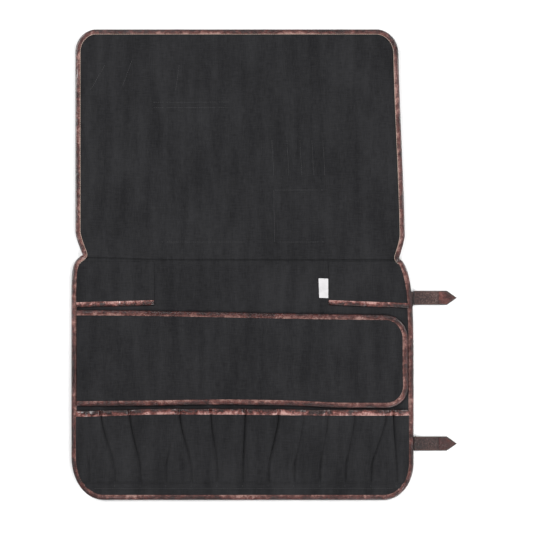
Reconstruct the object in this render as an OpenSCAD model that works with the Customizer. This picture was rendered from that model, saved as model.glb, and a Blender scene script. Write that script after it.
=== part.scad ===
// Roll-up brush case of canvas with leather edging, shown open and flat.
// The body sheet carries a row of brush pockets and a loose cover; the flap
// folds over both, and the whole case rolls up from the left in seven sections.

/* [Body] */
// Width of the body sheet
body_w = 513; // [500:1:520]
// Height of the body sheet, from its lower edge to the fold of the flap
body_h = 363; // [360:1:380]
// Corner radius at the lower edge of the body
body_corner_r = 52; // [30:1:60]
// Corner radius where the body meets the fold
waist_r = 30; // [20:1:40]
// Thickness of the two canvas layers sewn together
panel_t = 1.8; // [1.6:0.1:2.0]

/* [Flap] */
// Width of the flap
flap_w = 494; // [480:1:500]
// Height of the flap, from the fold to its free edge
flap_h = 343; // [320:1:350]
// Corner radius at the free edge of the flap
flap_corner_r = 32; // [20:1:50]
// Distance of the flap's left side from the body's left side
flap_inset = 6; // [4:1:10]

/* [Brush pockets] */
// Width of one brush pocket between its stitch lines
pocket_pitch = 38.4; // [37:0.1:38.4]
// Depth of the brush pockets
pocket_depth = 112; // [100:1:115]
// Free height inside an open pocket
pocket_room = 4.4; // [4.2:0.1:4.4]
// Distance from the fold to the mouths of the brush pockets
pocket_top = 227; // [226:1:230]

/* [Corner pockets] */
// Width of one corner pocket group beside the fold
corner_w = 119; // [100:1:122]
// Distance from the fold to the mouths of the corner pockets
corner_mouth = 73; // [65:1:75]

/* [Cover] */
// Width of the loose cover over the brush tips
cover_w = 494.5; // [480:0.5:494.5]
// Distance from the fold to the cover's upper edge
cover_top = 80; // [78:1:84]
// Distance from the fold to the cover's lower edge
cover_low = 221; // [200:1:221]
// Radius of the cover's two free corners
cover_corner_r = 31; // [20:1:40]

/* [Leather] */
// Width of the leather edging
edging_w = 9; // [7:0.5:9]
// Width of the cover's edging
cover_edging_w = 10; // [8:0.5:11]
// Width of a strap
strap_w = 23; // [20:1:26]
// Length of a strap tab beyond the body's right edge
tab_out = 68; // [60:1:75]
// Distances of the two straps from the fold
strap_low = [62, 281]; // [40:1:300]

/* [Hidden] */
$fn = 64;

canvas = [0.13, 0.13, 0.14];
leather = [0.36, 0.14, 0.12];
steel = [0.7, 0.7, 0.72];

// Sections of the roll, numbered from the left edge to the strap side
sections = 7;
cells = 2 * sections;
side_w = (body_w - (cells - 2) * pocket_pitch) / 2;

// Heights above the surface that the open case lies on
strap_t = 2.6;
skin_t = 0.6;
edging_z = strap_t;
panel_z = edging_z + skin_t;
panel_top = panel_z + panel_t;
edging_top = panel_top + skin_t;
wall_t = 0.8;
pocket_h = pocket_room + wall_t;
cover_z = edging_top + 0.3;
cover_t = 0.8;
cover_skin = 0.4;

// Clearances
seam_gap = 0.5;
fold_gap = 0.5;
cover_gap = 1.6;
flap_gap = 6.4;
arch_run = 5;
foot_t = 1.4;
web = 1;

// Magnets that close the straps
tab_magnet_d = 12;
tab_magnet_t = 1.1;
catch_magnet_d = 18;
catch_magnet_t = 1.5;
magnet_play = 0.2;

// Frame: origin under the middle of the open case, on the surface it lies on
left_x = -(body_w + tab_out) / 2;
fold_y = (body_h - flap_h) / 2;
right_x = left_x + body_w;
big = 1000;

// Left end of section k + 1, so bound(k) is where sections k and k + 1 meet
function bound(k) =
    k == 0 ? 0 : k == sections ? body_w : side_w + pocket_pitch * (2 * k - 1);

// Stitch line i of the pocket row, counted from the left
function stitch(i) =
    i == 0 ? edging_w + seam_gap
    : i == cells ? body_w - edging_w - seam_gap
    : side_w + pocket_pitch * (i - 1);

// Distance from the fold to the shut end of pocket i: the two end pockets
// stop where the body's round corners start
function shut_end(i) =
    i == 0 || i == cells - 1 ? body_h - body_corner_r : pocket_top + pocket_depth;

// Rectangle with one radius for each corner, from the lower left one round
module sheet(w, h, radii) {
    places = [[0, 0], [w, 0], [w, h], [0, h]];
    ways = [[1, 1], [-1, 1], [-1, -1], [1, -1]];
    difference() {
        square([w, h]);
        for (i = [0 : 3])
            if (radii[i] > 0)
                translate(places[i])
                    face_corner(ways[i])
                        difference() {
                            translate([-1, -1])
                                square(radii[i] + 1);
                            translate([radii[i], radii[i]])
                                circle(r = radii[i]);
                        }
    }
}

// Turns a corner cut drawn at the lower left so that it faces another way
module face_corner(way) {
    mirror([way[0] < 0 ? 1 : 0, 0])
        mirror([0, way[1] < 0 ? 1 : 0])
            children();
}

// The body sheet's outline, drawn inside its edge by inset
module body_outline(inset) {
    low_r = body_corner_r - inset;
    high_r = waist_r - inset;
    translate([inset, inset - body_h])
        sheet(body_w - 2 * inset, body_h - 2 * inset, [low_r, low_r, high_r, high_r]);
    translate([waist_r, -waist_r])
        square([body_w - 2 * waist_r, waist_r - fold_gap]);
}

// The flap's outline, drawn inside its edge by inset
module flap_outline(inset) {
    low_r = waist_r - inset;
    high_r = flap_corner_r - inset;
    translate([flap_inset + inset, inset])
        sheet(flap_w - 2 * inset, flap_h - 2 * inset, [low_r, low_r, high_r, high_r]);
    translate([flap_inset + waist_r, fold_gap])
        square([flap_w - 2 * waist_r, waist_r]);
}

// The cover's outline: its left side is sewn to the body, so it isn't inset
module cover_outline(inset) {
    r = cover_corner_r - inset;
    translate([edging_w + seam_gap, inset - cover_low])
        sheet(cover_w - inset, cover_low - cover_top - 2 * inset, [0, r, r, 0]);
}

// The strip of section k, kept clear of its neighbours by gap
module strip(k, gap) {
    x0 = k == 1 ? -big : bound(k - 1) + gap;
    x1 = k == sections ? big : bound(k) - gap;
    translate([x0, -big])
        square([x1 - x0, 2 * big]);
}

// Raises a flat shape into place, from its bottom height and thickness
module layer(z, t) {
    translate([left_x, fold_y, z])
        linear_extrude(t)
            children();
}

// A wall profile extruded along Y between two heights of the sheet
module along_y(y0, y1) {
    translate([left_x, fold_y + y1, panel_top])
        rotate([90, 0, 0])
            linear_extrude(y1 - y0)
                children();
}

module body_panel(k) {
    color(canvas)
        layer(panel_z, panel_t)
            intersection() {
                body_outline(web);
                strip(k, 0);
                translate([-big, -2 * big - fold_gap])
                    square(2 * big);
            }
}

// Leather channel that grips the sheet's edge, cut to section k
module body_channel(k) {
    difference() {
        layer(edging_z, edging_top - edging_z)
            intersection() {
                difference() {
                    body_outline(0);
                    body_outline(edging_w);
                }
                strip(k, 0);
                translate([-big, -2 * big - fold_gap])
                    square(2 * big);
            }
        layer(panel_z, panel_t)
            body_outline(web);
    }
}

module flap_panel(k) {
    color(canvas)
        layer(panel_z, panel_t)
            intersection() {
                flap_outline(web);
                strip(k, flap_gap);
                translate([-big, fold_gap])
                    square(2 * big);
            }
}

module flap_edging(k) {
    color(leather)
        difference() {
            layer(edging_z, edging_top - edging_z)
                intersection() {
                    difference() {
                        flap_outline(0);
                        flap_outline(edging_w);
                    }
                    strip(k, flap_gap);
                    translate([-big, fold_gap])
                        square(2 * big);
                }
            layer(panel_z, panel_t)
                flap_outline(web);
        }
}

module cover_panel(k) {
    color(canvas)
        layer(cover_z + cover_skin, cover_t)
            intersection() {
                cover_outline(web);
                strip(k, cover_gap);
            }
}

module cover_edging(k) {
    color(leather)
        difference() {
            layer(cover_z, cover_t + 2 * cover_skin)
                intersection() {
                    difference() {
                        cover_outline(0);
                        cover_outline(cover_edging_w);
                    }
                    strip(k, cover_gap);
                }
            layer(cover_z + cover_skin, cover_t)
                cover_outline(web);
        }
}

// Outer profile of one pocket from xa to xb, swollen by grow
module arch(xa, xb, grow) {
    top = pocket_h + grow;
    polygon([
        [xa, 0], [xb, 0],
        [xb - arch_run + grow, top], [xa + arch_run - grow, top]
    ]);
}

// Space inside that pocket
module arch_room(xa, xb) {
    slope = arch_run + wall_t;
    polygon([
        [xa + foot_t, -1], [xb - foot_t, -1],
        [xb - foot_t, 0], [xb - slope, pocket_room],
        [xa + slope, pocket_room], [xa + foot_t, 0]
    ]);
}

// A pocket of canvas, open at y_mouth and sewn shut at y_shut
module pocket(xa, xb, y_shut, y_mouth) {
    low = min(y_shut, y_mouth);
    high = max(y_shut, y_mouth);
    seam = y_shut < y_mouth ? low + foot_t : high - foot_t;
    difference() {
        along_y(low, high)
            arch(xa, xb, 0);
        along_y(min(seam, y_mouth - 1), max(seam, y_mouth + 1))
            arch_room(xa, xb);
    }
}

// Leather strip along a pocket's mouth
module mouth_strip(xa, xb, y0, y1) {
    difference() {
        along_y(y0, y1)
            arch(xa, xb, skin_t);
        along_y(y0 - 1, y1 + 1)
            arch(xa, xb, 0);
        along_y(y0 - 1, y1 + 1)
            translate([xa - 1, -1])
                square([xb - xa + 2, 1.5]);
    }
}

// Where the left corner group ends and where the right one starts
corner_ends = [5 + corner_w, body_w - 8 - corner_w];

// The corner pocket in section k: its left and right ends, or none
function corner_span(k) =
    k == 1 ? [edging_w + seam_gap, bound(1)]
    : k == 2 ? [bound(1), corner_ends[0]]
    : k == 6 ? [corner_ends[1], bound(6)]
    : k == 7 ? [bound(6), body_w - edging_w - seam_gap]
    : [];

// Distances from the fold to the corner pockets' shut ends: the outer ones
// stop short of the waist's round corners
outer_shut = waist_r + 2;
inner_shut = 4;

module pockets(k) {
    span = corner_span(k);
    color(canvas) {
        for (i = [2 * k - 2, 2 * k - 1])
            pocket(stitch(i), stitch(i + 1), -shut_end(i), -pocket_top);
        if (len(span) > 0)
            pocket(span[0], span[1], k == 1 || k == 7 ? -outer_shut : -inner_shut, -corner_mouth);
    }
}

module body_edging(k) {
    span = corner_span(k);
    color(leather) {
        body_channel(k);
        for (i = [2 * k - 2, 2 * k - 1])
            mouth_strip(stitch(i), stitch(i + 1), -pocket_top - edging_w, -pocket_top);
        if (len(span) > 0)
            mouth_strip(span[0], span[1], -corner_mouth, edging_w - corner_mouth);
    }
}

label_size = [11.5, 31];
label_t = 0.4;
label_low = 61;

module size_label() {
    color("white")
        layer(panel_top, label_t)
            translate([bound(5) + 0.8, -label_low])
                square(label_size);
}

// Outline of a strap from x0 to x1, with a pointed end there if it has a tip
module strap_shape(x0, x1, tip) {
    half = strap_w / 2;
    if (tip)
        polygon([
            [x0, -half], [x1 - half, -half], [x1, 0], [x1 - half, half], [x0, half]
        ]);
    else
        translate([x0, -half])
            square([x1 - x0, strap_w]);
}

anchor_len = 50;
anchor_end = body_w + 0.4;
tab_root = anchor_end + 0.4;
tab_end = body_w + tab_out;
tab_magnet_x = tab_end - 18;

module strap_anchors() {
    color(leather)
        for (low = strap_low)
            layer(0, strap_t)
                translate([0, -low])
                    strap_shape(body_w - anchor_len, anchor_end, false);
}

// Leather tab with a blind seat for its magnet near the tip
module strap_tab(i) {
    seat_t = tab_magnet_t + magnet_play / 2;
    color(leather)
        difference() {
            layer(0, strap_t)
                translate([0, -strap_low[i]])
                    strap_shape(tab_root, tab_end, true);
            layer(strap_t - seat_t, seat_t + 1)
                translate([tab_magnet_x, -strap_low[i]])
                    circle(d = tab_magnet_d + 2 * magnet_play);
        }
}

module tab_magnet(i) {
    color(steel)
        layer(strap_t - tab_magnet_t - magnet_play / 4, tab_magnet_t)
            translate([tab_magnet_x, -strap_low[i]])
                circle(d = tab_magnet_d);
}

// Second layer of leather that closes the magnet's seat
module tip_facing(i) {
    margin = 1.2;
    facing_t = 0.6;
    color(leather)
        layer(strap_t, facing_t)
            translate([0, -strap_low[i]])
                intersection() {
                    strap_shape(tab_end - 30, tab_end - margin, true);
                    translate([0, margin - strap_w / 2])
                        square([2 * body_w, strap_w - 2 * margin]);
                }
}

patch_len = 56;
patch_x = (bound(1) + bound(2)) / 2;

// Leather patches on the outside of the case that the strap tips close on
module catch_patches() {
    seat_t = catch_magnet_t + magnet_play / 2;
    color(leather)
        for (low = strap_low)
            difference() {
                layer(0, panel_z)
                    translate([patch_x - patch_len / 2, -low - strap_w / 2])
                        sheet(patch_len, strap_w, [4, 4, 4, 4]);
                layer(panel_z - seat_t, seat_t + 1)
                    translate([patch_x, -low])
                        circle(d = catch_magnet_d + 2 * magnet_play);
            }
}

module catch_magnets() {
    color(steel)
        for (low = strap_low)
            layer(panel_z - catch_magnet_t - magnet_play / 4, catch_magnet_t)
                translate([patch_x, -low])
                    circle(d = catch_magnet_d);
}

for (k = [1 : sections]) {
    body_panel(k);
    body_edging(k);
    pockets(k);
    flap_panel(k);
    flap_edging(k);
    cover_panel(k);
    cover_edging(k);
}
size_label();
strap_anchors();
catch_patches();
catch_magnets();
for (i = [0, 1]) {
    strap_tab(i);
    tip_facing(i);
    tab_magnet(i);
}
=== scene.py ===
"""The looks of a roll-up brush case: black canvas, oxblood leather edging and two strap tabs.

Each sheet is one smooth surface, worked out as a grid and then cut where the case's sections
need it, so that the cut pieces still meet with the same points and the same shading.
"""
import math
from functools import partial

import bpy
import numpy as np
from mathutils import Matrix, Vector


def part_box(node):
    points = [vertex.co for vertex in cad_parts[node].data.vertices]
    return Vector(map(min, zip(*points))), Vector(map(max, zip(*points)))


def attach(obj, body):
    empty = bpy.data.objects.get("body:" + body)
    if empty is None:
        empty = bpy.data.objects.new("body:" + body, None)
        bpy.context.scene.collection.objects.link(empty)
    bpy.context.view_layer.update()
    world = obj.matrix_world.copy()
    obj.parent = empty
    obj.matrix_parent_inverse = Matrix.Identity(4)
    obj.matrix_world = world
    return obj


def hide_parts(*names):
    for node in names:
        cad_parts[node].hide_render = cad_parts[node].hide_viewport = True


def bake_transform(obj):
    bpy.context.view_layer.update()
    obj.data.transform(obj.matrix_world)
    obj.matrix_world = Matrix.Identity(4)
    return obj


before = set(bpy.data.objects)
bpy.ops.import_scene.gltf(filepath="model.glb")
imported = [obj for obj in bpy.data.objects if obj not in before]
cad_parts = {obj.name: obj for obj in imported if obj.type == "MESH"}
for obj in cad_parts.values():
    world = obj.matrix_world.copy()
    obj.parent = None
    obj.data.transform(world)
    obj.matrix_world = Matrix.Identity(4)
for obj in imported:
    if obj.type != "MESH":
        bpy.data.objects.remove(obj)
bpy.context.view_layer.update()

MM = 0.001
SECTIONS = 7
CELLS = 2 * SECTIONS


# ---------------------------------------------------------------- places from the frame
def low(node):
    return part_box(node)[0]


def high(node):
    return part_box(node)[1]


LEFT, RIGHT = low("body_edging_1").x, high("body_edging_7").x
BOTTOM, TOP = low("body_edging_4").y, high("flap_edging_4").y
FOLD = (high("body_panel_4").y + low("flap_panel_4").y) / 2
FLAP_LEFT, FLAP_RIGHT = low("flap_edging_1").x, high("flap_edging_7").x
BOUNDS = [LEFT] + [high(f"body_panel_{k}").x for k in range(1, SECTIONS)] + [RIGHT]
MIDDLES = [(a + b) / 2 for a, b in zip(BOUNDS, BOUNDS[1:])]
COVER_RIGHT = high("cover_edging_7").x
COVER_TOP, COVER_LOW = high("cover_edging_4").y, low("cover_edging_4").y
MOUTH, POCKET_LOW = high("pockets_4").y, low("pockets_4").y
CORNER_MOUTH = high("body_edging_2").y - 9 * MM
PITCH = MIDDLES[2] - BOUNDS[2]
STITCHES = [LEFT + 9.5 * MM, BOUNDS[1] - PITCH] + [BOUNDS[1] + PITCH * i for i in range(12)]
STITCHES.append(RIGHT - 9.5 * MM)

# Heights of the layers, from the CAD panel that they stand for
PANEL_LOW, PANEL_TOP = low("body_panel_4").z, high("body_panel_4").z
CLOTH = 0.8 * MM
LEATHER = 0.6 * MM
COVER_Z = low("cover_panel_4").z

# How far below the flap's fold the body's sheets end and the flap's sheets begin
FOLD_BLEND = 4 * MM


# ---------------------------------------------------------------- small shape functions
def smooth(t):
    t = np.clip(t, 0, 1)
    return t * t * (3 - 2 * t)


def bump(d, width):
    """1 where d is 0, falling to 0 over about width."""
    return np.exp(-((d / width) ** 2))


def rounded(s, along, across, power=2.0):
    """How far a round corner cuts in, at a distance s from the corner's far edge."""
    t = np.clip(1 - s / along, 0, 1)
    return across * (1 - (1 - t**power) ** (1 / power))


def waves(x, y, seed, length, parts=5):
    """A smooth uneven surface from a few crossing waves of about that length, from -1 to 1."""
    draw = np.random.default_rng(seed)
    total = np.zeros(np.broadcast(x, y).shape)
    for _ in range(parts):
        turn, phase = draw.uniform(0, math.pi), draw.uniform(0, 2 * math.pi)
        span = length * draw.uniform(0.7, 1.6)
        way = x * math.cos(turn) + y * math.sin(turn)
        total = total + np.sin(2 * math.pi * way / span + phase)
    return total / parts


# The waist is where the body's outline meets the flap's
WAIST_LEFT, WAIST_RIGHT = FOLD + 4.5 * MM, FOLD - 0.5 * MM


def left_edge(y):
    """The outline's left side: the body's oval corner, a waist, and the flap's round corner."""
    down, up = np.maximum(WAIST_LEFT - y, 0), np.clip((y - WAIST_LEFT) / (34 * MM), 0, 1)
    body = LEFT + 17 * MM * np.exp(-down / (9.5 * MM)) + rounded(y - BOTTOM, 66 * MM, 50 * MM, 2.1)
    flap = FLAP_LEFT + 11 * MM * (1 - up) ** 1.3 + rounded(TOP - y, 34 * MM, 32 * MM)
    return np.where(y < WAIST_LEFT, body, flap)


def right_edge(y):
    """The outline's right side, whose waist is longer than the left one."""
    down, up = np.maximum(WAIST_RIGHT - y, 0), np.clip((y - WAIST_RIGHT) / (34 * MM), 0, 1)
    waist = 18 * MM * np.exp(-down / (30 * MM)) + 4 * MM * np.exp(-down / (4 * MM))
    body = RIGHT - waist - rounded(y - BOTTOM, 58 * MM, 46 * MM, 2.1)
    lean = 10 * MM * smooth((y - FOLD) / (TOP - FOLD))
    flap = FLAP_RIGHT - 9 * MM * (1 - up) ** 1.3 - lean - rounded(TOP - y, 36 * MM, 34 * MM)
    return np.where(y < WAIST_RIGHT, body, flap)


def lie(x, y):
    """How much higher than flat the cloth lies, with its ironed folds and the flap's fold."""
    total = 0.35 * MM * waves(x, y, 3, 130 * MM) + 0.1 * MM * waves(x, y, 4, 34 * MM)
    for middle, height, width in ((-131 * MM, 0.5 * MM, 4 * MM), (4 * MM, 0.45 * MM, 5 * MM),
                                  (-236 * MM, 0.3 * MM, 6 * MM), (112 * MM, 0.3 * MM, 6 * MM)):
        total = total + height * bump(x - middle - 3 * MM * np.sin(y / (70 * MM) + middle * 90), width)
    fold = FOLD + 0.7 * MM - 3.7 * MM * smooth((x - LEFT) / (150 * MM))
    return total - 2.3 * MM * bump(y - fold, 1.1 * MM) + 0.5 * MM * bump(y - fold, 6 * MM)


# ---------------------------------------------------------------- meshes from grids
PLAIN_SHARE = 0.6  # the share across a binding that sets the painted edge shade, for leather that isn't folded over an edge


def new_piece(name, points, faces, material, normals=None, spots=None, across=None):
    """An object from arrays, with shading normals and cloth coordinates for each face corner.

    spots numbers each face's material. across is each point's share of the way in on a binding.
    """
    mesh = bpy.data.meshes.new(name)
    mesh.from_pydata([tuple(p) for p in points], [], [tuple(f) for f in faces])
    for m in material if isinstance(material, (list, tuple)) else [material]:
        mesh.materials.append(m)
    if spots is not None:
        mesh.polygons.foreach_set("material_index", np.asarray(spots, np.int32))
    corner_points = np.zeros(len(mesh.loops), np.int32)
    mesh.loops.foreach_get("vertex_index", corner_points)
    layer = mesh.uv_layers.new(name="cloth")
    flat = np.asarray(points)[:, :2]
    layer.data.foreach_set("uv", flat[corner_points].astype(np.float32).ravel())
    if across is None:
        across = np.full(len(points), PLAIN_SHARE)
    layer = mesh.uv_layers.new(name="across")
    shares = np.stack([across, np.full(len(points), 0.5)], axis=1)[corner_points]
    layer.data.foreach_set("uv", shares.astype(np.float32).ravel())
    mesh.polygons.foreach_set("use_smooth", [True] * len(mesh.polygons))
    mesh.update()
    if normals is not None:
        mesh.normals_split_custom_set([Vector(n) for n in normals])
    piece = bpy.data.objects.new(name, mesh)
    bpy.context.scene.collection.objects.link(piece)
    return piece


def surface_normals(z_of, x, y):
    """Unit normals of a height function, the same whichever grid asks for them."""
    step = 0.3 * MM
    across = (z_of(x + step, y) - z_of(x - step, y)) / (2 * step)
    along = (z_of(x, y + step) - z_of(x, y - step)) / (2 * step)
    n = np.stack([-across, -along, np.ones(x.shape)], axis=-1)
    return n / np.linalg.norm(n, axis=-1, keepdims=True)


def grid_normals(points):
    """Unit normals of a grid of points, indexed [along, across]."""
    n = np.cross(np.gradient(points, axis=0), np.gradient(points, axis=1))
    size = np.linalg.norm(n, axis=2, keepdims=True)
    return n / np.maximum(size, 1e-12)


def slab(name, top, bottom, top_n, bottom_n, material):
    """A closed cloth layer between two grids of points, with its rim faces flat."""
    a, b = top.shape[:2]
    count = a * b
    points = np.concatenate([top.reshape(-1, 3), bottom.reshape(-1, 3)])
    at = np.arange(count).reshape(a, b)
    quads = np.stack([at[:-1, :-1], at[1:, :-1], at[1:, 1:], at[:-1, 1:]], axis=-1).reshape(-1, 4)
    rim = np.concatenate([at[:, 0], at[-1, 1:], at[-2::-1, -1], at[0, -2:0:-1]])
    ahead = np.roll(rim, -1)
    wall = np.stack([ahead, rim, rim + count, ahead + count], axis=1)
    keep = np.linalg.norm(points[ahead] - points[rim], axis=1) > 1e-7
    wall = wall[keep]
    faces = np.concatenate([quads, quads[:, ::-1] + count, wall])
    flat = np.cross(points[wall[:, 1]] - points[wall[:, 0]],
                    points[wall[:, 2]] - points[wall[:, 1]])
    flat /= np.maximum(np.linalg.norm(flat, axis=1, keepdims=True), 1e-12)
    both = np.concatenate([top_n.reshape(-1, 3), bottom_n.reshape(-1, 3)])
    corners = np.concatenate([both[quads].reshape(-1, 3),
                              both[quads[:, ::-1] + count].reshape(-1, 3),
                              np.repeat(flat, 4, axis=0)])
    return new_piece(name, points, faces, material, corners)


def sheet_rows(y0, y1, step, round_low=0.0, round_high=0.0, fine=()):
    """Rows of a sheet from y0 to y1, closer together at its round ends and at fine places."""
    ease = np.linspace(0, 1, 26) ** 2
    rows = [y0 + round_low * ease, y1 - round_high * ease]
    middle = (y0 + round_low, y1 - round_high)
    rows.append(np.linspace(*middle, max(2, int(round((middle[1] - middle[0]) / step)))))
    rows += [np.linspace(at - 5 * MM, at + 5 * MM, 17) for at in fine]
    rows = np.unique(np.round(np.concatenate(rows), 6))
    rows = rows[(rows >= y0 - 1e-9) & (rows <= y1 + 1e-9)]
    return rows[np.concatenate([[True], np.diff(rows) > 2e-4])]


def columns(lines, rows, step, ease=0.0):
    """A grid of x between border lines, each a number or a function of y, and each border's column.

    ease brings the columns together at the borders, where a pleat needs them.
    """
    sides = [np.full(len(rows), s) if np.isscalar(s) else s(rows) for s in lines]
    parts, borders = [], [0]
    for a, b in zip(sides, sides[1:]):
        count = max(3, int(round(abs(np.median(b - a)) / step)))
        t = np.linspace(0, 1, count + 1)
        t = (1 - ease) * t + ease * (0.5 - 0.5 * np.cos(np.pi * t))
        t = t[(0 if not parts else 1):]
        parts.append(a + (b - a) * t[:, None])
        borders.append(borders[-1] + count)
    return np.concatenate(parts), borders


def cut_sheet(names, lines, rows, step, z_of, thick, material, cuts=None, ease=0.0, warp=None):
    """One sheet as slabs that share its shading, cut at the lines numbered in cuts, or at each.

    warp(x, y) gives the y to use in place of the row's own, where the ends aren't straight.
    """
    x, borders = columns(lines, rows, step, ease)
    y = np.broadcast_to(rows, x.shape)
    if warp is not None:
        y = warp(x, y)
    top = np.stack([x, y, z_of(x, y)], axis=2)
    under = top - (0, 0, thick)
    normals = surface_normals(z_of, x, y)
    ends = [borders[i] for i in cuts] if cuts else borders
    return [
        slab(name, top[a:b + 1], under[a:b + 1], normals[a:b + 1], -normals[a:b + 1], material)
        for name, a, b in zip(names, ends, ends[1:])
    ]


# ---------------------------------------------------------------- bindings and stitches
def lengths(line):
    """How far along a line each of its points is."""
    return np.concatenate([[0], np.cumsum(np.linalg.norm(np.diff(line, axis=0), axis=1))])


def spaced(line, step):
    """A line's points again, about step apart."""
    along = lengths(line)
    at = np.linspace(0, along[-1], max(2, int(round(along[-1] / step)) + 1))
    return np.stack([np.interp(at, along, line[:, k]) for k in range(line.shape[1])], axis=1)


def split_line(line, cut_x):
    """A line's parts between the places where it crosses each x in turn."""
    parts, start = [], 0
    for x in cut_x:
        side = line[start:, 0] - x
        crosses = (side[:-1] * side[1:] <= 0) & (np.abs(side[:-1]) > 1e-9)
        i = start + int(np.nonzero(crosses)[0][0])
        spot = line[i] + (x - line[i, 0]) / (line[i + 1, 0] - line[i, 0]) * (line[i + 1] - line[i])
        parts.append(np.concatenate([line[start:i + 1], [spot]]))
        line = np.concatenate([line[:i + 1], [spot], line[i + 1:]])
        start = i + 1
    return parts + [line[start:]]


def inward(line):
    """The unit vector to the right of a line at each of its points."""
    t = np.gradient(line, axis=0)
    t /= np.maximum(np.linalg.norm(t, axis=1, keepdims=True), 1e-12)
    return np.stack([t[:, 1], -t[:, 0]], axis=1)


def c_profile(width, leather, sheet):
    """A folded leather strip's section: how far in, how far above or below the cloth, and which."""
    over = [(1.0, 0.3), (0.97, 0.8), (0.9, 1.0), (0.8, 0.95), (0.68, 1.3), (0.54, 1.65), (0.4, 1.8),
            (0.26, 1.7), (0.13, 1.35), (0.045, 0.75)]
    top = [(n * width, k * leather) for n, k in over]
    edge = [(-0.35 * MM, -sheet / 2)]
    under = [(n, -sheet - h) for n, h in top[::-1]]
    inner = [(width, -sheet), (0.9 * MM, -sheet), (0.9 * MM, 0.0), (width, 0.0)]
    return top + edge + under + inner


def binding(names, parts, width, z_of, leather, sheet, material, closed=False, step=2.2 * MM,
            seed=1):
    """A leather strip folded over an edge, as one tube for each part of the edge's line."""
    parts = [spaced(part, step) for part in parts]
    ends = np.concatenate([[0], np.cumsum([len(part) - 1 for part in parts])])
    line = np.concatenate([part[:-1] for part in parts] + [parts[-1][-1:]])
    if closed:
        across = inward(np.concatenate([line[-3:-1], line, line[1:3]]))[2:-2]
    else:
        across = inward(line)
    rings = []
    lean = 0.5 * waves(*line.T, seed + 2, 55 * MM)
    swell = 1 + 0.45 * waves(*line.T, seed + 3, 38 * MM)
    for n, h in c_profile(width, leather, sheet):
        share = n / width
        if 0.1 < share < 0.9 and h > 0:
            h = h * swell * (1 + lean * math.sin(2 * math.pi * share))
        spot = line + n * across
        uneven = 1 + 0.2 * waves(*spot.T, seed, 9 * MM) + 0.14 * waves(*spot.T, seed + 1, 4 * MM)
        base = line if n < 0 else spot
        height = z_of(*base.T) + np.where(h > 0, h * uneven, h)
        rings.append(np.concatenate([spot, height[:, None]], axis=1))
    points = np.stack(rings, axis=1)
    wrapped = np.concatenate([points[:, -1:], points, points[:, :1]], axis=1)
    if closed:
        wrapped = np.concatenate([wrapped[-2:-1], wrapped, wrapped[1:2]])
        normals = grid_normals(wrapped)[1:-1, 1:-1]
    else:
        normals = grid_normals(wrapped)[:, 1:-1]
    across = [min(max(n / width, 0), 1) for n, _ in c_profile(width, leather, sheet)]
    return [tube(name, points[a:b + 1], normals[a:b + 1], material, across)
            for name, a, b in zip(names, ends, ends[1:])]


def tube(name, rings, normals, material, across):
    """A closed tube through rings of points, with flat ends.

    across is each ring point's share of the way in from the edge.
    """
    count, around = rings.shape[:2]
    points = rings.reshape(-1, 3)
    at = np.arange(count * around).reshape(count, around)
    nxt = np.roll(at, -1, axis=1)
    quads = np.stack([at[:-1], nxt[:-1], nxt[1:], at[1:]], axis=-1).reshape(-1, 4)
    volume = (points[quads[:, 0]] * np.cross(points[quads[:, 1]], points[quads[:, 2]])).sum()
    if volume < 0:
        quads = quads[:, ::-1]
    face_n = np.cross(points[quads[:, 1]] - points[quads[:, 0]],
                      points[quads[:, 2]] - points[quads[:, 1]])
    flat_n = normals.reshape(-1, 3)
    if (flat_n[quads[:, 0]] * face_n).sum() < 0:
        flat_n = -flat_n
    first, last = (at[0], at[-1][::-1]) if volume < 0 else (at[0][::-1], at[-1])
    faces = [tuple(q) for q in quads] + [tuple(first), tuple(last)]
    corners = [flat_n[quads].reshape(-1, 3)]
    for cap in faces[-2:]:
        p = points[list(cap)]
        n = np.cross(p, np.roll(p, -1, axis=0)).sum(axis=0)
        corners.append(np.tile(n / max(np.linalg.norm(n), 1e-12), (around, 1)))
    return new_piece(name, points, faces, material, np.concatenate(corners),
                     across=np.tile(across, count))


STITCH_RINGS = ((-1.0, 0.35), (-0.7, 0.8), (-0.25, 1.0), (0.25, 1.0), (0.7, 0.8), (1.0, 0.35))
STITCH_SIDES = 6


def stitches(name, lines, pitch, length, width, material):
    """Rows of thread stitches, each a little arched capsule, along lines of points."""
    points, faces = [], []
    turn = np.linspace(0, 2 * math.pi, STITCH_SIDES, endpoint=False)
    for line in lines:
        along = lengths(line)
        count = int(along[-1] / pitch)
        for middle in (np.arange(count) + 0.5) * along[-1] / max(count, 1):
            ends = np.array([[np.interp(middle + s * length / 2, along, line[:, k])
                              for k in range(3)] for s in (-1, 1)])
            centre, way = ends.mean(axis=0), (ends[1] - ends[0]) / 2
            side = np.cross(way, (0, 0, 1))
            side *= width / 2 / max(np.linalg.norm(side), 1e-12)
            start = len(points)
            for t, thick in STITCH_RINGS:
                heart = centre + t * way + np.array((0, 0, 0.25 * width * (1 - t * t)))
                for a in turn:
                    up = np.array((0, 0, 0.5 * width * math.sin(a)))
                    points.append(heart + thick * (math.cos(a) * side + up))
            for r in range(len(STITCH_RINGS) - 1):
                for s in range(STITCH_SIDES):
                    a = start + r * STITCH_SIDES + s
                    b = start + r * STITCH_SIDES + (s + 1) % STITCH_SIDES
                    faces.append((a, a + STITCH_SIDES, b + STITCH_SIDES, b))
            faces.append(tuple(range(start, start + STITCH_SIDES)))
            last = start + (len(STITCH_RINGS) - 1) * STITCH_SIDES
            faces.append(tuple(range(last + STITCH_SIDES - 1, last - 1, -1)))
    return new_piece(name, np.array(points), faces, material)


def offset_line(line, inset, z_of, lift):
    """A line moved inward, with the height of what it lies on."""
    spot = line + inset * inward(line)
    return np.concatenate([spot, (z_of(spot[:, 0], spot[:, 1]) + lift)[:, None]], axis=1)


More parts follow.
